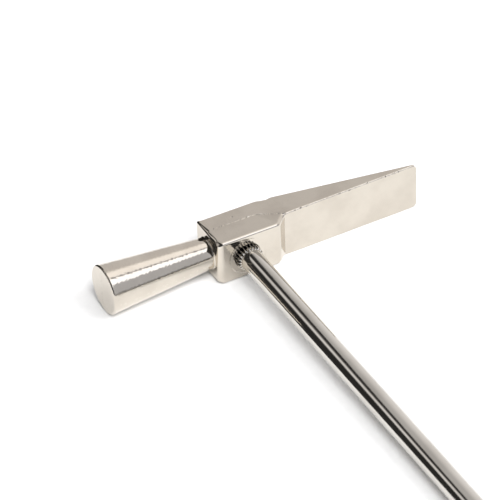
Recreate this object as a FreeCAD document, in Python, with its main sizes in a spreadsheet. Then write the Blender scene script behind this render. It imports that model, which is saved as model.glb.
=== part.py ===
import FreeCAD, Part
import math
import os

import Sketcher

# A small cross-peen hammer in plated metal, modelled lying on its side.
# X runs along the head towards the wedge, -Y runs along the handle, and +Z is up.
# Both pieces are drawn about the point where the handle's axis meets the head's axis, and are
# then placed so that the origin is the centre of the striking face.

PARTS_FOLDER = "parts"
NEAR = 0.05  # two places closer than this, in millimetres, count as the same

doc = FreeCAD.newDocument("CrossPeenHammer")

# ---------------------------------------------------------------- dimensions

SIZES = (
    # alias, value in millimetres, degrees or a count, meaning
    ("rod_radius", 3.0, "plain bar of the handle"),
    ("rod_end", 165.0, "far end of the handle, from the head's axis"),
    ("rod_end_round", 1.2, "rounding of the handle's far end"),
    ("spline_radius", 3.4, "crests of the splined end, and the socket they fill"),
    ("groove_floor", 2.85, "radius at the floor of a spline groove"),
    ("groove_reach", 3.6, "radius at which a groove's outline ends, clear of the crests"),
    ("groove_half_width", 0.44, "half a groove's width at its outline's outer end"),
    ("tooth_count", 22, "crests round the splined end"),
    ("spline_out", 7.5, "where the full crests stop, in front of the axis"),
    ("runout_out", 8.3, "where the crests have died out into the plain bar"),
    ("spigot_chamfer", 0.4, "lead-in chamfer of the splined end"),
    ("socket_floor", 2.7, "floor of the blind socket, behind the head's axis"),
    ("seat_radius", 5.1, "shallow round seat cast about the socket"),
    ("seat_depth", 0.1, "depth of that seat"),
    ("block_left", 7.9, "left face of the block, from the handle's axis"),
    ("block_front", 6.3, "front face of the block"),
    ("block_back", 5.65, "back face of the block"),
    ("block_half", 6.45, "half height of the block at its left face"),
    ("tip_half", 6.8, "half height of the wedge at its edge"),
    ("bend", 8.4, "where the back face turns into the wedge's slope"),
    ("shoulder", 9.5, "right end of the block's front face"),
    ("root", 12.5, "foot of the shoulder, where the wedge starts"),
    ("root_front", 3.5, "front face of the wedge at its root"),
    ("tip", 51.3, "edge of the wedge"),
    ("tip_front", 2.9, "front face of the wedge at its edge"),
    ("tip_back", 2.3, "back face of the wedge at its edge"),
    ("trim", 2.0, "how far the trimming outlines reach past the metal"),
    ("neck_radius", 4.2, "thin end of the striking cone, at the block"),
    ("neck_sink", 1.0, "how far the cone runs on into the block"),
    ("strike_radius", 6.65, "thick end of the striking cone"),
    ("strike_face", 37.6, "striking face, from the handle's axis"),
    ("tip_corner", 2.0, "corners of the wedge's edge"),
    ("bend_round", 8.0, "soft bend of the back face"),
    ("back_corner_round", 0.6, "block's back left corner"),
    ("corner_round", 1.5, "block's front left corner"),
    ("shoulder_round", 1.0, "block's front right corner"),
    ("foot_round", 0.5, "hollow fillet at the wedge's foot"),
    ("rim_round", 0.9, "rounding of the striking face's rim"),
    ("neck_round", 0.8, "fillet between the cone and the block"),
    ("edge_round", 0.3, "long edges of the block and the wedge"),
)

sheet = doc.addObject("Spreadsheet::Sheet", "Sizes")
for row, (alias, value, meaning) in enumerate(SIZES, start=1):
    sheet.set(f"A{row}", meaning)
    sheet.set(f"B{row}", str(value))
    sheet.setAlias(f"B{row}", alias)
doc.recompute()


def size(alias):
    """The sheet's value of an alias, as a plain number."""
    return float(sheet.get(alias))


def bind(expression):
    """An expression whose {alias} marks point at the sheet."""
    for alias, _, _ in SIZES:
        expression = expression.replace("{" + alias + "}", f"<<Sizes>>.{alias}")
    return expression


# ---------------------------------------------------------------- sketches


def new_body(label):
    """A body placed so that the centre of the striking face is the origin."""
    body = doc.addObject("PartDesign::Body", label)
    body.Label = label
    body.setExpression("Placement.Base.x", bind("{strike_face}"))
    return body


def new_sketch(body, name, plane, offset="0"):
    """A sketch on one of the body's own origin planes, moved off it along its normal."""
    sketch = body.newObject("Sketcher::SketchObject", name)
    origin_plane = next(f for f in body.Origin.OriginFeatures if f.Role == plane)
    sketch.AttachmentSupport = [(origin_plane, "")]
    sketch.MapMode = "FlatFace"
    sketch.setExpression("AttachmentOffset.Base.z", bind(offset))
    return sketch


def draw_polygon(sketch, corners):
    """A closed outline through corners, each a pair of expressions held by constraints."""
    count = len(corners)
    turn = 2 * math.pi / count
    start = [FreeCAD.Vector(math.cos(i * turn), math.sin(i * turn), 0) for i in range(count)]
    for i in range(count):
        sketch.addGeometry(Part.LineSegment(start[i], start[(i + 1) % count]), False)
    for i in range(count):
        sketch.addConstraint(Sketcher.Constraint("Coincident", i, 2, (i + 1) % count, 1))
    for i, corner in enumerate(corners):
        for kind, expression, value in zip(("DistanceX", "DistanceY"), corner, start[i]):
            held = sketch.addConstraint(Sketcher.Constraint(kind, -1, 1, i, 1, value))
            sketch.setExpression(f"Constraints[{held}]", bind(expression))


def draw_circle(sketch, radius):
    """A circle about the sketch's origin."""
    unit_circle = Part.Circle(FreeCAD.Vector(0, 0, 0), FreeCAD.Vector(0, 0, 1), 1)
    circle = sketch.addGeometry(unit_circle, False)
    sketch.addConstraint(Sketcher.Constraint("Coincident", circle, 3, -1, 1))
    held = sketch.addConstraint(Sketcher.Constraint("Radius", circle, 1))
    sketch.setExpression(f"Constraints[{held}]", bind(radius))


# ---------------------------------------------------------------- features


def add_pad(body, name, sketch, length):
    pad = body.newObject("PartDesign::Pad", name)
    pad.Profile = sketch
    pad.setExpression("Length", bind(length))
    doc.recompute()


def add_revolution(body, name, sketch, axis):
    solid = body.newObject("PartDesign::Revolution", name)
    solid.Profile = sketch
    solid.ReferenceAxis = (sketch, [axis])
    solid.Angle = 360
    doc.recompute()


def cut_pocket(body, name, sketch, depth=None):
    """A pocket of a given depth, or right through to both sides, that has to take metal away."""
    doc.recompute()
    before = body.Shape.Volume
    pocket = body.newObject("PartDesign::Pocket", name)
    pocket.Profile = sketch
    if depth is None:
        pocket.SideType = "Symmetric"
        pocket.Type = "ThroughAll"
    else:
        pocket.setExpression("Length", bind(depth))
    doc.recompute()
    if not pocket.Shape.Volume < before:
        raise RuntimeError(f"{name} cuts nothing")
    return pocket


def round_edges(body, name, radius, wanted):
    """Fillet every edge of the body's solid that wanted(edge) picks."""
    base = body.Tip
    picked = [f"Edge{i}" for i, edge in enumerate(base.Shape.Edges, start=1) if wanted(edge)]
    if not picked:
        raise RuntimeError(f"{name} finds no edge")
    fillet = body.newObject("PartDesign::Fillet", name)
    fillet.Base = (base, picked)
    fillet.setExpression("Radius", bind(radius))
    doc.recompute()


def middle(edge):
    return edge.valueAt((edge.FirstParameter + edge.LastParameter) / 2)


def upright_at(x, y):
    """Picks the edge that stands along Z at a place in plan."""
    def wanted(edge):
        spot = middle(edge)
        upright = abs(edge.tangentAt(edge.FirstParameter).z) > 1 - NEAR
        return upright and math.hypot(spot.x - x, spot.y - y) < NEAR
    return wanted


# ---------------------------------------------------------------- head

head = new_body("head")

# The block and the wedge start as one bar, a little taller towards the wedge's edge.

side_profile = new_sketch(head, "SideProfile", "XZ_Plane", "-{block_back}")
draw_polygon(side_profile, [
    ("-{block_left}", "-{block_half}"),
    ("{tip}", "-{tip_half}"),
    ("{tip}", "{tip_half}"),
    ("-{block_left}", "{block_half}"),
])
add_pad(head, "Bar", side_profile, "{block_back} + {block_front}")

# Seen from above, the shoulder and the wedge's flat face trim the bar in front, and the
# wedge's slope trims it behind.

front_trim = new_sketch(head, "FrontTrim", "XY_Plane")
draw_polygon(front_trim, [
    ("{shoulder}", "-{block_front}"),
    ("{root}", "-{root_front}"),
    ("{tip}", "-{tip_front}"),
    ("{tip} + {trim}", "-{tip_front}"),
    ("{tip} + {trim}", "-{block_front} - {trim}"),
    ("{shoulder}", "-{block_front} - {trim}"),
])
cut_pocket(head, "WedgeFront", front_trim)

back_trim = new_sketch(head, "BackTrim", "XY_Plane")
draw_polygon(back_trim, [
    ("{bend}", "{block_back}"),
    ("{bend}", "{block_back} + {trim}"),
    ("{tip} + {trim}", "{block_back} + {trim}"),
    ("{tip} + {trim}", "-{tip_back}"),
    ("{tip}", "-{tip_back}"),
])
cut_pocket(head, "WedgeBack", back_trim)

# The striking end is a cone that widens from the block to a flat face.

strike_profile = new_sketch(head, "StrikeProfile", "XZ_Plane")
draw_polygon(strike_profile, [
    ("-{block_left} + {neck_sink}", "0"),
    ("-{block_left} + {neck_sink}", "{neck_radius}"),
    ("-{block_left}", "{neck_radius}"),
    ("-{strike_face}", "{strike_radius}"),
    ("-{strike_face}", "0"),
])
add_revolution(head, "StrikingEnd", strike_profile, "H_Axis")

# The handle's socket is a blind round hole in the front face, with a shallow seat round it.

seat_profile = new_sketch(head, "SeatProfile", "XZ_Plane", "{block_front}")
draw_circle(seat_profile, "{seat_radius}")
cut_pocket(head, "Seat", seat_profile, "{seat_depth}")

socket_profile = new_sketch(head, "SocketProfile", "XZ_Plane", "{block_front}")
draw_circle(socket_profile, "{spline_radius}")
cut_pocket(head, "Socket", socket_profile, "{block_front} + {socket_floor}")


# The roundings, from the large ones to the fine one along every long edge.


def at_tip_corner(edge):
    across = abs(edge.tangentAt(edge.FirstParameter).y) > 1 - NEAR
    return across and abs(middle(edge).x - size("tip")) < NEAR


def at_rim(edge):
    return abs(middle(edge).x + size("strike_face")) < NEAR


def at_neck(edge):
    spot = middle(edge)
    on_cone = abs(math.hypot(spot.y, spot.z) - size("neck_radius")) < NEAR
    return on_cone and abs(spot.x + size("block_left")) < NEAR


def corner_angle(edge):
    """The angle in degrees between the outward normals of the faces that meet at an edge."""
    faces = head.Tip.Shape.ancestorsOfType(edge, Part.Face)
    if len(faces) < 2:
        return 0.0
    spot = middle(edge)
    first, second = (face.normalAt(*face.Surface.parameter(spot)) for face in faces)
    return math.degrees(first.getAngle(second))


def at_long_edge(edge):
    """The sharp outline of the block and the wedge, which leaves out the seat and the socket."""
    spot = middle(edge)
    outside_seat = math.hypot(spot.x, spot.z) > size("seat_radius") + NEAR
    on_block = spot.x > -size("block_left") - NEAR
    return on_block and outside_seat and corner_angle(edge) > 45


round_edges(head, "TipCorners", "{tip_corner}", at_tip_corner)
round_edges(head, "BackBend", "{bend_round}", upright_at(size("bend"), size("block_back")))
round_edges(head, "BackLeftCorner", "{back_corner_round}",
            upright_at(-size("block_left"), size("block_back")))
round_edges(head, "FrontLeftCorner", "{corner_round}",
            upright_at(-size("block_left"), -size("block_front")))
round_edges(head, "FrontRightCorner", "{shoulder_round}",
            upright_at(size("shoulder"), -size("block_front")))
round_edges(head, "WedgeFoot", "{foot_round}", upright_at(size("root"), -size("root_front")))
round_edges(head, "Rim", "{rim_round}", at_rim)
round_edges(head, "Neck", "{neck_round}", at_neck)
round_edges(head, "LongEdges", "{edge_round}", at_long_edge)

# ---------------------------------------------------------------- handle

handle_rod = new_body("handle_rod")

# A plain round bar. Its head end swells into the spline's crests, which fill the socket.

rod_profile = new_sketch(handle_rod, "RodProfile", "XY_Plane")
draw_polygon(rod_profile, [
    ("0", "{socket_floor}"),
    ("{spline_radius} - {spigot_chamfer}", "{socket_floor}"),
    ("{spline_radius}", "{socket_floor} - {spigot_chamfer}"),
    ("{spline_radius}", "-{spline_out}"),
    ("{rod_radius}", "-{runout_out}"),
    ("{rod_radius}", "-{rod_end}"),
    ("0", "-{rod_end}"),
])
add_revolution(handle_rod, "Rod", rod_profile, "V_Axis")
round_edges(handle_rod, "RodEnd", "{rod_end_round}",
            lambda edge: abs(middle(edge).y + size("rod_end")) < NEAR)

# One V groove along the splined end, repeated round the rod's axis.

groove_profile = new_sketch(handle_rod, "GrooveProfile", "XZ_Plane", "{runout_out}")
draw_polygon(groove_profile, [
    ("0", "{groove_floor}"),
    ("{groove_half_width}", "{groove_reach}"),
    ("-{groove_half_width}", "{groove_reach}"),
])
groove = cut_pocket(handle_rod, "Groove", groove_profile, "{runout_out} + {socket_floor}")

spline = handle_rod.newObject("PartDesign::PolarPattern", "Spline")
spline.Originals = [groove]
spline.Axis = (rod_profile, ["V_Axis"])
spline.Angle = 360
spline.setExpression("Occurrences", bind("{tooth_count}"))
handle_rod.Tip = spline
doc.recompute()

# ---------------------------------------------------------------- checks and files

for item in doc.Objects:
    if {"Invalid", "Error"} & set(item.State):
        raise RuntimeError(f"{item.Name} failed: {item.State}")

os.makedirs(PARTS_FOLDER, exist_ok=True)
for body in (head, handle_rod):
    shape = body.Shape
    if shape.isNull() or not shape.isValid() or len(shape.Solids) != 1:
        raise RuntimeError(f"{body.Label} isn't one sound solid")
    shape.exportStep(os.path.join(PARTS_FOLDER, body.Label + ".step"))
    print(body.Label, round(shape.Volume, 1), shape.BoundBox)
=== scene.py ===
"""Small all-metal hammer, nickel plated: the looks of its two pieces and the studio they lie in.

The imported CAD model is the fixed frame. Its two nodes are replaced, each by one finer piece:
  hammer_head   the casting, with its die drafts, parting line, soft edges, pits and plated skin
  hammer_handle the bar, with the rolled spline that is pressed into the head
Lengths in the shape functions are millimetres, measured from the handle's axis. X runs along the
head from the striking face to the wedge's edge, -Y along the handle and Z up. Blender gets metres.
"""
import math

import bmesh
import bpy
import numpy as np
from mathutils import Matrix, Vector


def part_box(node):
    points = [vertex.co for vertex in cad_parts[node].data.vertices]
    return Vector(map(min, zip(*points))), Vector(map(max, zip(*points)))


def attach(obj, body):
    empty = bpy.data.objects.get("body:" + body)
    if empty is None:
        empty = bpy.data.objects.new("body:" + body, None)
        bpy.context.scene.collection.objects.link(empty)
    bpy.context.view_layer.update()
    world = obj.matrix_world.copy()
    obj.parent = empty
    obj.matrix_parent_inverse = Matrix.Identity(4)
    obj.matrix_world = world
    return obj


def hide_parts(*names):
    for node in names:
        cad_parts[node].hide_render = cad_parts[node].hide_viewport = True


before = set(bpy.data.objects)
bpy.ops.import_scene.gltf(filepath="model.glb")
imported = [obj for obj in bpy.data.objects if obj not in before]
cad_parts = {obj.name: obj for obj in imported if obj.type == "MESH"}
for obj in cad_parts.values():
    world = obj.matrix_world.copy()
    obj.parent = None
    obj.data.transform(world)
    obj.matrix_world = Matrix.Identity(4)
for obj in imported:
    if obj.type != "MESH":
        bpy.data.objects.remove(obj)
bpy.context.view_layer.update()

MM = 0.001

# ---- how far the finished skin stands beyond the CAD -------------------------------------------
FACE_PROUD = 0.2                                    # crowned striking face
TIP_PROUD = 0.3                                     # wedge's edge, before it is rounded
CREST_PROUD = 0.15                                  # rolled crests of the spline

# ---- driving sizes, read from the frame --------------------------------------------------------
head_low, head_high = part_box("head")
rod_low, rod_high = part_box("handle_rod")
AXIS_X = (rod_low.x + rod_high.x) / 2 / MM          # handle axis in the frame
STRIKE_X = head_low.x / MM - AXIS_X - FACE_PROUD    # striking face
TIP_X = head_high.x / MM - AXIS_X + TIP_PROUD       # wedge's edge
ROD_END = rod_low.y / MM                            # free end of the handle
SPIGOT_END = rod_high.y / MM                        # end of the bar inside the head
CREST = (rod_high.x - rod_low.x) / 2 / MM + CREST_PROUD  # radius over the spline's crests

# ---- sizes of the casting ----------------------------------------------------------------------
BLOCK_LEFT = -8.25                                  # face that the striking cone grows from
BLOCK_FRONT = -6.3                                  # face that the handle stands in
BLOCK_BACK = 5.65
BLOCK_TOP = 6.6                                     # half the height at the parting line
DRAFT = math.tan(math.radians(2.0))                 # of both dies
DIE_BEND = 5.5                                      # where the front die starts to climb
DIE_CLIMB = 0.0281                                  # its climb along X
DIE_LEAN = 0.0537                                   # and its lean across Y
BACK_BEND = 8.4                                     # where the back turns towards the tip
TIP_BACK = -2.3
SHOULDER_X = 9.3                                    # where the block's front turns inwards
ROOT_X = 12.3                                       # foot of the wedge's front
ROOT_FRONT = -3.5
TIP_FRONT = -2.9
TIP_FLARE = 0.08                                    # extra half height at the tip
NECK_RADIUS = 4.2                                   # striking cone where it meets the block
STRIKE_RADIUS = 6.65                                # and at its face
FACE_CROWN = 0.002                                  # doming of it, per mm of radius squared
SEAT_RADIUS = 5.1                                   # pressed ring round the handle
SEAT_DEPTH = 0.1
SEAT_TILT = 0.12                                    # deeper at its lower left
SOCKET_RADIUS = CREST + 0.02
SOCKET_FLOOR = SPIGOT_END + 0.05
VOXEL = 0.14

# ---- reach of the rounded edges and filled corners of the casting ------------------------------
FRONT_CORNER = 1.7                                  # upright corner left of the handle
BACK_CORNER = 0.5                                   # upright corner behind the cone
BACK_BEND_SOFT = 0.14
SHOULDER_SOFT = 0.5
WEDGE_FOOT = 0.25
TIP_CORNER = 1.5                                    # wedge's tip, seen from the front
TIP_EDGE = 0.3                                      # wedge's tip, seen from above
TOP_EDGE = 0.9                                      # long edges of the block
SHOULDER_EXTRA = 0.35                               # added to them at the shoulder
UNDER_EXTRA = 0.1                                   # and under the front
WEDGE_LESS = 0.42                                   # taken off along the wedge
STRIKE_RIM = 0.6
NECK_CORNER = 0.4
SEAT_EDGE = 0.2
SOCKET_MOUTH = 0.15

# ---- skin of the casting -----------------------------------------------------------------------
RIDGE_Y = 0.25                                      # parting line over the block
RIDGE_SWING = 3.4                                   # how far it runs forward at the wedge
RIDGE_WIDTH = 0.15
RIDGE_LEFT = 0.03                                   # its height near the cone
RIDGE_MIDDLE = 0.05                                 # added over the middle of the block
RIDGE_RIGHT = 0.06                                  # and again towards the wedge
SEAM_Y = 0.6                                        # its trace down the striking face
SEAM_WIDTH = 0.2
SEAM_HEIGHT = 0.01
SEAM_SPECKS = 0.03                                  # height of the specks along it
LONG_PEEL_HEIGHT = 0.0022                           # slow ripple of the plated skin
PEEL_HEIGHT = 0.0026                                # and the quick one
BLOCK_SMOOTHER = 0.72                               # share of both that the block lacks
NICK_REACH = 0.35                                   # how far nicks spread from an edge
NICK_START = 0.95                                   # strength of BURR at which nicks begin
NICK_DEPTH = 0.12
FUZZ_DEPTH = 0.004
LARGE_PIT = ((0.2, 2.4, 6.5), 0.17, 0.09)           # place, radius and depth, on the block's top
PIT_COUNT = 26

# ---- sizes of the handle -----------------------------------------------------------------------
ROD_RADIUS = 3.0
ROOT_RADIUS = 2.85                                  # floor of a groove of the spline
TEETH = 22
FLANK_SLOPE = 1.7                                   # of a groove's sides
ROOT_SOFT = 0.05
CREST_SOFT = 0.12
SPLINE_OUT = -7.85                                  # full crests up to here
RUNOUT_OUT = -8.3                                   # plain bar from here on
SPIGOT_CHAMFER = 0.4
ROD_END_ROUND = 1.2
POINTS_PER_TOOTH = 16
SPLINE_RINGS = 34                                   # rings of points along the spline
BAR_RINGS = 70
END_RINGS = 12                                      # round the free end's edge

# ---- accuracy of the fitted skin ---------------------------------------------------------------
PROBE = 0.012                                       # step for slopes
LONGEST_STEP = 0.25                                 # of one Newton step
LEAST_SLOPE = 0.2                                   # squared, where the shape folds


# ---- small helpers -----------------------------------------------------------------------------
def smooth_step(value, start, end):
    t = np.clip((value - start) / (end - start), 0.0, 1.0)
    return t * t * (3 - 2 * t)


def smooth_max(a, b, reach):
    """Intersection of two solids, with the edge between them rounded over reach."""
    h = np.maximum(reach - np.abs(a - b), 0.0) / reach
    return np.maximum(a, b) + h * h * reach / 4


def smooth_min(a, b, reach):
    """Union of two solids, with the corner between them filled over reach."""
    return -smooth_max(-a, -b, reach)


def line_distance(x, y, start, end):
    """Signed distance from the line through two plan points, positive on its left."""
    dx, dy = end[0] - start[0], end[1] - start[1]
    length = math.hypot(dx, dy)
    return (dx * (y - start[1]) - dy * (x - start[0])) / length


class Waves:
    """A smooth random field of unit strength, made of sine waves of about one wavelength."""

    def __init__(self, seed, wavelength, count=20):
        rng = np.random.default_rng(seed)
        ways = rng.normal(size=(count, 3))
        ways /= np.linalg.norm(ways, axis=1)[:, None]
        lengths = wavelength * rng.uniform(0.75, 1.5, count)
        self.waves = (ways / lengths[:, None] * 2 * math.pi).T
        self.phases = rng.uniform(0, 2 * math.pi, count)
        self.scale = math.sqrt(2 / count)

    def __call__(self, points):
        return np.sin(points @ self.waves + self.phases).sum(1) * self.scale


LONG_PEEL = Waves(3, 2.8)
PEEL = Waves(5, 0.65)
BURR = Waves(13, 0.9)
FINE_BURR = Waves(21, 0.35)


# ---- shape of the casting ----------------------------------------------------------------------
def block_and_wedge(x, y, z):
    """Square block with the wedge on its right, both with the die's drafts."""
    height = np.abs(z)
    flare = TIP_FLARE * np.clip((x - ROOT_X) / (TIP_X - ROOT_X), 0, 1)
    back_die = height - (BLOCK_TOP - DRAFT * y + flare)
    front_die = height - (BLOCK_TOP + DRAFT * y)
    shoulder_die = height - (BLOCK_TOP + DIE_CLIMB * (x - DIE_BEND) + DIE_LEAN * y)
    top = np.maximum(back_die, np.minimum(front_die, shoulder_die))

    left = BLOCK_LEFT - x
    slope = line_distance(x, y, (BACK_BEND, BLOCK_BACK), (TIP_X, TIP_BACK))
    back = smooth_max(y - BLOCK_BACK, slope, BACK_BEND_SOFT)
    shoulder = -line_distance(x, y, (SHOULDER_X, BLOCK_FRONT), (ROOT_X, ROOT_FRONT))
    block_front = smooth_max(BLOCK_FRONT - y, shoulder, SHOULDER_SOFT)
    wedge_front = -line_distance(x, y, (ROOT_X, ROOT_FRONT), (TIP_X, TIP_FRONT))
    front = smooth_min(block_front, wedge_front, WEDGE_FOOT)
    left_front = smooth_max(left, front, FRONT_CORNER)
    left_back = smooth_max(left, back, BACK_CORNER)

    tip = x - TIP_X
    side = smooth_max(top, tip, TIP_CORNER)
    plan = smooth_max(np.maximum(left_front, left_back), tip, TIP_EDGE)
    return smooth_max(plan, side, long_edge_reach(x, y, z))


def long_edge_reach(x, y, z):
    """How softly the block's and the wedge's long edges are rounded, from place to place."""
    on_wedge = smooth_step(x, 11.2, 12.8)
    under_front = smooth_step(-z, -1, 1) * smooth_step(-y, 0, 2) * (1 - on_wedge)
    by_neck = 1 - smooth_step(x, BLOCK_LEFT + 0.4, BLOCK_LEFT + 1.4)
    by_shoulder = smooth_step(x, 8.6, 10.0) * (1 - on_wedge)
    by_neck *= 0.5 - 0.9 * smooth_step(y, -3, 5.5)
    reach = TOP_EDGE + by_neck + SHOULDER_EXTRA * by_shoulder
    return reach + UNDER_EXTRA * under_front - WEDGE_LESS * on_wedge


def striking_end(x, y, z):
    """Flared round end with a rounded rim and a very slightly crowned face."""
    radial = np.hypot(y, z)
    flare = (STRIKE_RADIUS - NECK_RADIUS) / (BLOCK_LEFT - STRIKE_X)
    lean = math.cos(math.atan(flare))
    wall = (radial - NECK_RADIUS - flare * (BLOCK_LEFT - x)) * lean
    face = STRIKE_X + FACE_CROWN * radial * radial - x
    return np.maximum(smooth_max(wall, face, STRIKE_RIM), x)


def parting_ridge(points, x, y, z):
    """Height of the flash line where the two dies met, over the top and the bottom."""
    run = np.clip((x - DIE_BEND) / (ROOT_X - DIE_BEND), 0, 1)
    line = RIDGE_Y - RIDGE_SWING * run
    across = (y - line) / RIDGE_WIDTH
    on_block = smooth_step(np.abs(z), 5.2, 6.0) * smooth_step(x, -7.5, -6.5) * (x < ROOT_X + 0.3)
    strength = RIDGE_LEFT + RIDGE_MIDDLE * smooth_step(x, -5, -1)
    strength += RIDGE_RIGHT * smooth_step(x, 5, 7)
    burr = 1 + 0.5 * BURR(points) + 0.4 * FINE_BURR(points)
    block_part = on_block * strength * np.clip(burr, 0, 3) * np.exp(-across * across)
    on_face = smooth_step(STRIKE_X + 1.2 - x, 0, 0.8)
    speckle = np.clip(FINE_BURR(points) + 0.6 * BURR(points), 0, 2)
    seam = (SEAM_HEIGHT + SEAM_SPECKS * speckle) * np.exp(-((y - SEAM_Y) / SEAM_WIDTH) ** 2)
    return block_part + on_face * seam


def edge_wear(points, x, y, z):
    """Nicks and small burrs along the wedge's front edges and its tip."""
    near_top = np.exp(-((np.abs(z) - 6.55) / 0.45) ** 2)
    front = ROOT_FRONT + (TIP_FRONT - ROOT_FRONT) * (x - ROOT_X) / (TIP_X - ROOT_X)
    near_front = np.exp(-((y - front) / NICK_REACH) ** 2)
    long_edge = near_top * near_front * smooth_step(x, ROOT_X - 0.5, ROOT_X + 0.5)
    near_tip = np.exp(-((x - TIP_X) / NICK_REACH) ** 2)
    chips = np.clip(BURR(points) - NICK_START, 0, 2) * NICK_DEPTH
    return (0.7 * long_edge + near_tip) * (chips + FUZZ_DEPTH * FINE_BURR(points))


def scatter_pits(seed, count):
    """Places, sizes and depths of small casting pits on the skin of the head."""
    rng = np.random.default_rng(seed)
    pits = [LARGE_PIT]
    for _ in range(count):
        x = rng.uniform(STRIKE_X + 2, TIP_X - 2)
        turn = rng.uniform(0, 2 * math.pi)
        reach = 5.4 if x < BLOCK_LEFT else 6.5
        place = (x, reach * math.sin(turn), reach * math.cos(turn))
        pits.append((place, rng.uniform(0.08, 0.16), rng.uniform(0.02, 0.05)))
    return pits


PITS = scatter_pits(34, PIT_COUNT)


def pit_depth(points):
    depth = np.zeros(len(points))
    for place, radius, deep in PITS:
        away = ((points - np.array(place)) ** 2).sum(1)
        depth += deep * np.exp(-away / (radius * radius))
    return depth


def solid_distance(points):
    """Signed distance from the casting without its skin texture, negative inside."""
    x, y, z = points.T
    solid = smooth_min(block_and_wedge(x, y, z), striking_end(x, y, z), NECK_CORNER)
    round_handle = np.hypot(x, z)
    seat_floor = BLOCK_FRONT + SEAT_DEPTH * (0.4 - SEAT_TILT * (x + z))
    seat = np.maximum(round_handle - SEAT_RADIUS, y - seat_floor)
    solid = smooth_max(solid, -seat, SEAT_EDGE)
    socket = np.maximum(round_handle - SOCKET_RADIUS, y - SOCKET_FLOOR)
    return smooth_max(solid, -socket, SOCKET_MOUTH)


def skin_height(points):
    """How far the plated skin stands proud: pebbling, parting line, wear and pits."""
    x, y, z = points.T
    coarse = 1 - BLOCK_SMOOTHER * smooth_step(x, BLOCK_LEFT - 0.8, BLOCK_LEFT)
    height = coarse * (LONG_PEEL_HEIGHT * LONG_PEEL(points) + PEEL_HEIGHT * PEEL(points))
    height += parting_ridge(points, x, y, z) - edge_wear(points, x, y, z) - pit_depth(points)
    in_socket = (np.hypot(x, z) < SOCKET_RADIUS + 0.3) * (y < SPIGOT_END + 0.5)
    return height * (1 - in_socket)


def head_distance(points):
    return solid_distance(points) - skin_height(points)


def gradient(function, points):
    """Slope of the function at each point, by central differences."""
    slope = np.empty_like(points)
    for axis in range(3):
        shift = np.zeros(3)
        shift[axis] = PROBE
        slope[:, axis] = (function(points + shift) - function(points - shift)) / (2 * PROBE)
    return slope


def pull_onto(function, points, rounds):
    """Newton steps onto the surface where the function is zero."""
    for _ in range(rounds):
        here = function(points)
        ahead = [function(points + shift) for shift in np.eye(3) * PROBE]
        slope = np.stack([there - here for there in ahead], 1) / PROBE
        size = np.maximum((slope * slope).sum(1), LEAST_SLOPE)
        step = np.clip(here, -LONGEST_STEP, LONGEST_STEP) / size
        points = points - slope * step[:, None]
    return points


def relax(points, edges):
    """Moves each point halfway to the middle of its neighbours."""
    total = np.zeros_like(points)
    count = np.zeros(len(points))
    for one, other in ((0, 1), (1, 0)):
        np.add.at(total, edges[:, one], points[edges[:, other]])
        np.add.at(count, edges[:, one], 1)
    return (points + total / count[:, None]) / 2


def remeshed_copy(node, voxel):
    """An even, closed mesh of quads over a CAD node."""
    work = bpy.data.objects.new("remesh_work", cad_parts[node].data.copy())
    bpy.context.scene.collection.objects.link(work)
    welded = bmesh.new()
    welded.from_mesh(work.data)
    bmesh.ops.remove_doubles(welded, verts=welded.verts, dist=1e-6)
    welded.to_mesh(work.data)
    welded.free()
    modifier = work.modifiers.new("voxels", "REMESH")
    modifier.mode = "VOXEL"
    modifier.voxel_size = voxel * MM
    modifier.adaptivity = 0.0
    evaluated = work.evaluated_get(bpy.context.evaluated_depsgraph_get())
    mesh = bpy.data.meshes.new_from_object(evaluated)
    spare = work.data
    bpy.data.objects.remove(work)
    bpy.data.meshes.remove(spare)
    return mesh


def make_head():
    """The casting: an even mesh over the CAD head, pulled onto the finished skin."""
    mesh = remeshed_copy("head", VOXEL)
    mesh.materials.clear()
    points = np.empty(len(mesh.vertices) * 3)
    mesh.vertices.foreach_get("co", points)
    points = points.reshape(-1, 3) / MM - (AXIS_X, 0, 0)
    edges = np.empty(len(mesh.edges) * 2, int)
    mesh.edges.foreach_get("vertices", edges)
    edges = edges.reshape(-1, 2)
    points = pull_onto(solid_distance, points, 4)
    points = pull_onto(solid_distance, relax(points, edges), 2)
    points = pull_onto(solid_distance, relax(points, edges), 2)
    points = pull_onto(head_distance, points, 2)
    normals = gradient(head_distance, points)
    normals /= np.linalg.norm(normals, axis=1)[:, None]
    mesh.vertices.foreach_set("co", ((points + (AXIS_X, 0, 0)) * MM).ravel())
    mesh.polygons.foreach_set("use_smooth", np.ones(len(mesh.polygons), bool))
    mesh.update()
    mesh.normals_split_custom_set_from_vertices(normals)
    head = bpy.data.objects.new("hammer_head", mesh)
    bpy.context.scene.collection.objects.link(head)
    return head


# ---- shape of the handle -----------------------------------------------------------------------
def tooth_radius(turn):
    """Radius of the rolled spline: V grooves with a rounded root and a narrow crest."""
    pitch = 2 * math.pi / TEETH
    off_groove = np.abs((turn + pitch / 2) % pitch - pitch / 2) * CREST
    rounded = np.sqrt(off_groove ** 2 + ROOT_SOFT ** 2) - ROOT_SOFT
    flank = ROOT_RADIUS + FLANK_SLOPE * rounded
    return smooth_min(flank, CREST, CREST_SOFT)


def handle_radius(turn, y):
    """Radius of the bar at one station: full spline, run-out, then plain bar."""
    fade = smooth_step(y, RUNOUT_OUT, SPLINE_OUT)
    return ROD_RADIUS + (tooth_radius(turn) - ROD_RADIUS) * fade


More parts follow.
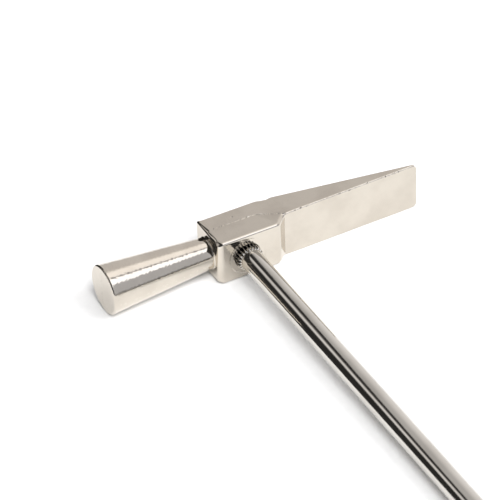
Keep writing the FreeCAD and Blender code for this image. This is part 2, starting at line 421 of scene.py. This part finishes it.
def handle_stations():
    """Places along Y and a shrink of the radius, from the hidden spigot end to the free end."""
    stations = [(SPIGOT_END, SPIGOT_CHAMFER), (SPIGOT_END - SPIGOT_CHAMFER, 0.0)]
    stations += [(y, 0.0) for y in np.linspace(SPIGOT_END - 1, BLOCK_FRONT + 0.5, 5)]
    spline = np.linspace(BLOCK_FRONT + 0.2, RUNOUT_OUT - 0.1, SPLINE_RINGS)
    stations += [(y, 0.0) for y in spline]
    plain_end = ROD_END + ROD_END_ROUND
    stations += [(y, 0.0) for y in np.linspace(RUNOUT_OUT - 0.5, plain_end, BAR_RINGS)]
    for turn in np.linspace(0, math.pi / 2, END_RINGS + 1)[1:]:
        y = plain_end - ROD_END_ROUND * math.sin(turn)
        stations.append((y, ROD_END_ROUND * (1 - math.cos(turn))))
    return stations


def make_handle():
    """The bar: one ring of points per station, closed at both ends."""
    around = TEETH * POINTS_PER_TOOTH
    turns = np.arange(around) * 2 * math.pi / around
    rings = []
    for y, shrink in handle_stations():
        radius = handle_radius(turns, y) - shrink
        ring = np.stack([AXIS_X + radius * np.sin(turns), np.full(around, y),
                         radius * np.cos(turns)], 1)
        rings.append(ring * MM)
    first_middle = np.array([[AXIS_X, SPIGOT_END, 0]]) * MM
    last_middle = np.array([[AXIS_X, ROD_END, 0]]) * MM
    points = np.concatenate(rings + [first_middle, last_middle])
    faces = []
    for row in range(len(rings) - 1):
        for col in range(around):
            here, beside = row * around + col, row * around + (col + 1) % around
            faces.append((here, here + around, beside + around, beside))
    last_row = (len(rings) - 1) * around
    start, end = len(points) - 2, len(points) - 1
    for col in range(around):
        faces.append((start, col, (col + 1) % around))
        faces.append((end, last_row + (col + 1) % around, last_row + col))
    mesh = bpy.data.meshes.new("hammer_handle")
    mesh.from_pydata(points.tolist(), [], faces)
    mesh.polygons.foreach_set("use_smooth", np.ones(len(mesh.polygons), bool))
    mesh.update()
    handle = bpy.data.objects.new("hammer_handle", mesh)
    bpy.context.scene.collection.objects.link(handle)
    return handle


# ---- node helpers ------------------------------------------------------------------------------
def plug(tree, socket, value):
    if isinstance(value, bpy.types.NodeSocket):
        tree.links.new(value, socket)
    else:
        socket.default_value = value


def calculate(tree, operation, *values):
    node = tree.nodes.new("ShaderNodeMath")
    node.operation = operation
    for socket, value in zip(node.inputs, values):
        plug(tree, socket, value)
    return node.outputs[0]


def dot_product(tree, vector, fixed):
    node = tree.nodes.new("ShaderNodeVectorMath")
    node.operation = "DOT_PRODUCT"
    plug(tree, node.inputs[0], vector)
    node.inputs[1].default_value = fixed
    return node.outputs["Value"]


def ease(tree, value, start, end, low=0.0, high=1.0):
    node = tree.nodes.new("ShaderNodeMapRange")
    node.interpolation_type = "SMOOTHSTEP"
    for name, number in (("Value", value), ("From Min", start), ("From Max", end),
                         ("To Min", low), ("To Max", high)):
        plug(tree, node.inputs[name], number)
    return node.outputs["Result"]


def noise(tree, scale, detail, stretch=(1, 1, 1)):
    """Noise in object space, with scale in cycles per metre."""
    place = tree.nodes.new("ShaderNodeTexCoord")
    mapping = tree.nodes.new("ShaderNodeMapping")
    mapping.inputs["Scale"].default_value = stretch
    tree.links.new(place.outputs["Object"], mapping.inputs["Vector"])
    node = tree.nodes.new("ShaderNodeTexNoise")
    node.inputs["Scale"].default_value = scale
    node.inputs["Detail"].default_value = detail
    tree.links.new(mapping.outputs["Vector"], node.inputs["Vector"])
    return node.outputs["Fac"]


def blend_colours(tree, factor, first, second):
    node = tree.nodes.new("ShaderNodeMix")
    node.data_type = "RGBA"
    plug(tree, node.inputs["Factor"], factor)
    plug(tree, node.inputs["A"], first)
    plug(tree, node.inputs["B"], second)
    return node.outputs["Result"]


def bump(tree, height, distance, below=None):
    node = tree.nodes.new("ShaderNodeBump")
    node.inputs["Distance"].default_value = distance * MM
    tree.links.new(height, node.inputs["Height"])
    if below is not None:
        tree.links.new(below, node.inputs["Normal"])
    return node.outputs["Normal"]


# ---- materials ---------------------------------------------------------------------------------
NICKEL = (0.66, 0.61, 0.535, 1)
NICKEL_DULL = (0.60, 0.55, 0.48, 1)
# painted sheen: the lighter nickel laid on the casting's convex edges
NICKEL_EDGE_SHEEN = (0.72, 0.68, 0.61, 1)
BAR_PLATE = (0.66, 0.635, 0.59, 1)                  # the bar's plating is less yellow
BAR_DULL = (0.60, 0.575, 0.53, 1)
# painted sheen: the lighter plating laid on the bar's convex edges
BAR_EDGE_SHEEN = (0.72, 0.70, 0.66, 1)


def metal(name):
    material = bpy.data.materials.new(name)
    material.use_nodes = True
    tree = material.node_tree
    surface = next(n for n in tree.nodes if n.type == "BSDF_PRINCIPLED")
    surface.inputs["Metallic"].default_value = 1.0
    return material, tree, surface


def plated_casting():
    """Nickel over a die casting: glossy, faintly pebbled, with a painted sheen that makes convex
    edges brighter.
    """
    material, tree, surface = metal("nickel_on_casting")
    cloud = ease(tree, noise(tree, 130, 3), 0.35, 0.7)
    colour = blend_colours(tree, cloud, NICKEL, NICKEL_DULL)
    geometry = tree.nodes.new("ShaderNodeNewGeometry")
    # painted sheen: convex edges, found by pointiness, get the lighter nickel colour
    edge_sheen = ease(tree, geometry.outputs["Pointiness"], 0.52, 0.60)
    colour = blend_colours(tree, edge_sheen, colour, NICKEL_EDGE_SHEEN)
    plug(tree, surface.inputs["Base Color"], colour)
    haze = ease(tree, noise(tree, 420, 4), 0.3, 0.75, 0.06, 0.12)
    plug(tree, surface.inputs["Roughness"], haze)
    pebble = bump(tree, noise(tree, 1600, 2), 0.0012)
    grain = bump(tree, noise(tree, 5200, 2), 0.0004, pebble)
    plug(tree, surface.inputs["Normal"], grain)
    return material


def plated_bar():
    """Nickel over drawn bar: smoother than the casting, with faint lines along its length and a
    painted sheen that makes convex edges brighter.
    """
    material, tree, surface = metal("nickel_on_drawn_bar")
    cloud = ease(tree, noise(tree, 90, 3), 0.35, 0.7)
    colour = blend_colours(tree, cloud, BAR_PLATE, BAR_DULL)
    geometry = tree.nodes.new("ShaderNodeNewGeometry")
    # painted sheen: convex edges, found by pointiness, get the lighter plating colour
    edge_sheen = ease(tree, geometry.outputs["Pointiness"], 0.53, 0.62)
    colour = blend_colours(tree, edge_sheen, colour, BAR_EDGE_SHEEN)
    plug(tree, surface.inputs["Base Color"], colour)
    haze = ease(tree, noise(tree, 900, 3, (1, 0.02, 1)), 0.3, 0.75, 0.03, 0.08)
    plug(tree, surface.inputs["Roughness"], haze)
    drawn = bump(tree, noise(tree, 2600, 3, (1, 0.012, 1)), 0.0009)
    ripple = bump(tree, noise(tree, 260, 2), 0.003, drawn)
    plug(tree, surface.inputs["Normal"], ripple)
    return material


# ---- studio ------------------------------------------------------------------------------------
def direction(azimuth, elevation):
    """Unit vector, azimuth in degrees from +Y towards +X, elevation above the horizon."""
    a, e = math.radians(azimuth), math.radians(elevation)
    return Vector((math.sin(a) * math.cos(e), math.cos(a) * math.cos(e), math.sin(e)))


def panel_mask(tree, look, corners, softness):
    """1 for directions inside the panel's corners, 0 outside."""
    rays = [direction(*corner) for corner in corners]
    middle = sum(rays, Vector())
    mask = 1.0
    for here, there in zip(rays, rays[1:] + rays[:1]):
        side = here.cross(there).normalized()
        if side.dot(middle) < 0:
            side = -side
        inside = ease(tree, dot_product(tree, look, side), -softness, softness)
        mask = calculate(tree, "MULTIPLY", inside, mask)
    return mask


# Each panel has its corners as (azimuth, elevation) in degrees, its radiance and the softness of
# its edge. Later panels cover earlier ones. They are placed to give the photo's reflections.
FLAG_SOFTNESS = 0.008
DARK_FLAG = [(-66, -12), (15, -20), (12, 42), (-20, 46), (-66, 42)]
PANELS = {
    "front_wall": ([(95, -3), (95, 58), (200, 58), (200, -3)], 0.65, 0.05),
    "horizon": ([(70, -3), (70, 6), (150, 6), (200, 6), (200, -3), (150, -3)], 0.32, 0.03),
    "ceiling": ([(52, 50), (108, 52), (108, 84), (0, 84)], 1.38, 0.10),
    "boom": ([(107, 48), (118, 46), (118, 72), (107, 72)], 0.52, 0.02),
    "front_softbox": ([(117, 44), (162, 34), (170, 62), (117, 74)], 1.9, 0.012),
    "camera_side": ([(-178, -3), (-178, 70), (-95, 78), (-95, -3)], 0.06, 0.05),
    "dark_flag": (DARK_FLAG, 0.03, FLAG_SOFTNESS),
    "flag_top": ([(-25, 30), (20, 30), (20, 41), (11, 45), (-5, 48), (-25, 46)], 0.03, 0.006),
    "high_flag": ([(-30, 43), (-30, 66), (-110, 78), (-110, 30)], 0.05, 0.03),
    "back_strip": ([(-19, 43), (-22, 40), (-66, 2), (-60, 20)], 0.95, 0.03),
}
WALL = 0.58                                         # radiance everywhere else
WALL_RIGHT = 0.97                                   # and towards +X
WALL_TINT = (1.02, 0.99, 0.98, 1)                   # the room is a little warm
SOFTBOX_TINT = (0.98, 1.0, 1.07, 1)                 # the lamps in front a little cool
FLOOR_WHITE = 0.88
FLOOR_PAINTED_DARK = 0.035                               # painted dark reflection: the floor as the metal sees it in the flag's directions
FLOOR_HALF = 4.0                                    # half the floor's side, in metres
FILL = 0.6                                          # share of the studio that lights the floor

# softboxes as azimuth, elevation, spread in degrees and strength
KEY_LIGHT = (196, 52, 34, 3.2)
SIDE_LIGHT = (140, 46, 34, 1.45)

# camera: direction from the hammer in degrees, azimuth from -Y towards +X, then places in mm
CAMERA_AZIMUTH = -27.2
CAMERA_ELEVATION = 38.2
CAMERA_ROLL = -2.2
CAMERA_DISTANCE = 855
CAMERA_SLIDE = -3.5
CAMERA_LIFT = 1.9
LENS = 243
SENSOR = 36.0
STOP = 60


def make_world():
    """Reflected studio: pale walls, a softbox, a ceiling and dark flags behind left."""
    world = bpy.data.worlds.new("studio")
    bpy.context.scene.world = world
    world.use_nodes = True
    tree = world.node_tree
    background = next(n for n in tree.nodes if n.type == "BACKGROUND")
    place = tree.nodes.new("ShaderNodeTexCoord")
    look = place.outputs["Generated"]
    radiance = ease(tree, dot_product(tree, look, (1, 0, 0)), 0.1, 0.8, WALL, WALL_RIGHT)
    for corners, value, softness in PANELS.values():
        mask = panel_mask(tree, look, corners, softness)
        change = calculate(tree, "SUBTRACT", value, radiance)
        radiance = calculate(tree, "MULTIPLY_ADD", change, mask, radiance)
    in_front = ease(tree, dot_product(tree, look, (0, -1, 0)), 0.0, 0.4)
    tint = tree.nodes.new("ShaderNodeVectorMath")
    tint.operation = "SCALE"
    plug(tree, tint.inputs[0], blend_colours(tree, in_front, WALL_TINT, SOFTBOX_TINT))
    plug(tree, tint.inputs["Scale"], radiance)
    path = tree.nodes.new("ShaderNodeLightPath")
    seen = path.outputs["Is Camera Ray"]
    colour = blend_colours(tree, seen, tint.outputs["Vector"], (1, 1, 1, 1))
    plug(tree, background.inputs["Color"], colour)
    fill = calculate(tree, "MULTIPLY_ADD", path.outputs["Is Diffuse Ray"], FILL - 1, 1.0)
    plug(tree, background.inputs["Strength"], fill)


def floor_material():
    """White paper; for glossy rays heading into the dark flag's directions it shows a painted dark
    reflection in place of the lit paper.
    """
    material = bpy.data.materials.new("white_sweep_with_painted_reflection")
    material.use_nodes = True
    tree = material.node_tree
    surface = next(n for n in tree.nodes if n.type == "BSDF_PRINCIPLED")
    fibre = ease(tree, noise(tree, 700, 3), 0.3, 0.7, FLOOR_WHITE - 0.01, FLOOR_WHITE + 0.01)
    plug(tree, surface.inputs["Base Color"], fibre)
    surface.inputs["Roughness"].default_value = 0.9
    surface.inputs["Specular IOR Level"].default_value = 0.0
    geometry = tree.nodes.new("ShaderNodeNewGeometry")
    ray = tree.nodes.new("ShaderNodeVectorMath")
    ray.operation = "SCALE"
    ray.inputs["Scale"].default_value = -1.0
    tree.links.new(geometry.outputs["Incoming"], ray.inputs[0])
    painted_dark_directions = panel_mask(tree, ray.outputs["Vector"], DARK_FLAG, FLAG_SOFTNESS)
    path = tree.nodes.new("ShaderNodeLightPath")
    # painted dark reflection: glossy rays in the flag's directions see a dim emission instead of the
    # lit floor
    hidden = calculate(tree, "MULTIPLY", painted_dark_directions, path.outputs["Is Glossy Ray"])
    # the dim emission that paints the dark reflection
    dark = tree.nodes.new("ShaderNodeEmission")
    dark.inputs["Strength"].default_value = FLOOR_PAINTED_DARK
    mixed = tree.nodes.new("ShaderNodeMixShader")
    output = next(n for n in tree.nodes if n.type == "OUTPUT_MATERIAL")
    tree.links.new(hidden, mixed.inputs[0])
    tree.links.new(surface.outputs[0], mixed.inputs[1])
    tree.links.new(dark.outputs[0], mixed.inputs[2])
    tree.links.new(mixed.outputs[0], output.inputs["Surface"])
    return material


def make_floor():
    """The table: the plane through the rim of the striking face, the wedge and the handle's end."""
    rim = Vector((STRIKE_X + AXIS_X, 0, -STRIKE_RADIUS)) * MM
    wedge = Vector((TIP_X + AXIS_X, TIP_FRONT, head_low.z / MM)) * MM
    end = Vector((AXIS_X, ROD_END + ROD_END_ROUND, -ROD_RADIUS)) * MM
    up = (wedge - rim).cross(end - rim).normalized()
    if up.z < 0:
        up = -up
    along = Vector((1, 0, 0)).cross(up).normalized()
    across = up.cross(along).normalized()
    middle = (rim + wedge + end) / 3 - up * 0.05 * MM
    corners = [middle + FLOOR_HALF * (a * across + b * along)
               for a, b in ((-1, -1), (1, -1), (1, 1), (-1, 1))]
    if (corners[1] - corners[0]).cross(corners[2] - corners[0]).dot(up) < 0:
        corners.reverse()
    mesh = bpy.data.meshes.new("floor")
    mesh.from_pydata(corners, [], [(0, 1, 2, 3)])
    mesh.materials.append(floor_material())
    floor = bpy.data.objects.new("floor", mesh)
    bpy.context.scene.collection.objects.link(floor)


def make_light(name, azimuth, elevation, spread, strength):
    """A wide softbox, far away, that lights the floor and casts the soft shadows.

    It isn't mirrored in the metal; the studio's panels are.
    """
    lamp = bpy.data.lights.new(name, "SUN")
    lamp.angle = math.radians(spread)
    lamp.energy = strength
    light = bpy.data.objects.new(name, lamp)
    bpy.context.scene.collection.objects.link(light)
    aim = direction(azimuth, elevation)
    light.location = Vector((AXIS_X * MM, 0, 0)) + aim
    light.rotation_mode = "QUATERNION"
    light.rotation_quaternion = (-aim).to_track_quat("-Z", "Y")
    light.visible_glossy = False


def make_camera():
    """A long lens from above the front left, rolled a little, focused on the head."""
    camera_data = bpy.data.cameras.new("camera")
    camera_data.lens = LENS
    camera_data.sensor_width = SENSOR
    camera_data.clip_start = 0.05
    camera_data.clip_end = 50.0
    camera = bpy.data.objects.new("camera", camera_data)
    bpy.context.scene.collection.objects.link(camera)
    azimuth = math.radians(CAMERA_AZIMUTH)
    elevation = math.radians(CAMERA_ELEVATION)
    roll = math.radians(CAMERA_ROLL)
    back = Vector((math.sin(azimuth) * math.cos(elevation),
                   -math.cos(azimuth) * math.cos(elevation), math.sin(elevation)))
    level = Vector((math.cos(azimuth), math.sin(azimuth), 0))
    rise = back.cross(level)
    right = math.cos(roll) * level + math.sin(roll) * rise
    up = math.cos(roll) * rise - math.sin(roll) * level
    place = back * CAMERA_DISTANCE - right * CAMERA_SLIDE - up * CAMERA_LIFT
    turn = Matrix((right, up, back)).transposed()
    middle = Vector((AXIS_X, 0, 0))
    camera.matrix_world = Matrix.Translation((place + middle) * MM) @ turn.to_4x4()
    focus = bpy.data.objects.new("focus", None)
    focus.location = (AXIS_X * MM, 0, 0)
    bpy.context.scene.collection.objects.link(focus)
    camera_data.dof.use_dof = True
    camera_data.dof.focus_object = focus
    camera_data.dof.aperture_fstop = STOP
    bpy.context.scene.camera = camera


# ---- assembly ----------------------------------------------------------------------------------
def finish_piece(piece, node, material):
    piece.data.materials.append(material)
    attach(piece, "root")
    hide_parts(node)


finish_piece(make_head(), "head", plated_casting())
finish_piece(make_handle(), "handle_rod", plated_bar())
make_world()
make_floor()
make_light("key", *KEY_LIGHT)
make_light("side", *SIDE_LIGHT)
make_camera()
bpy.context.scene.view_settings.view_transform = "Standard"
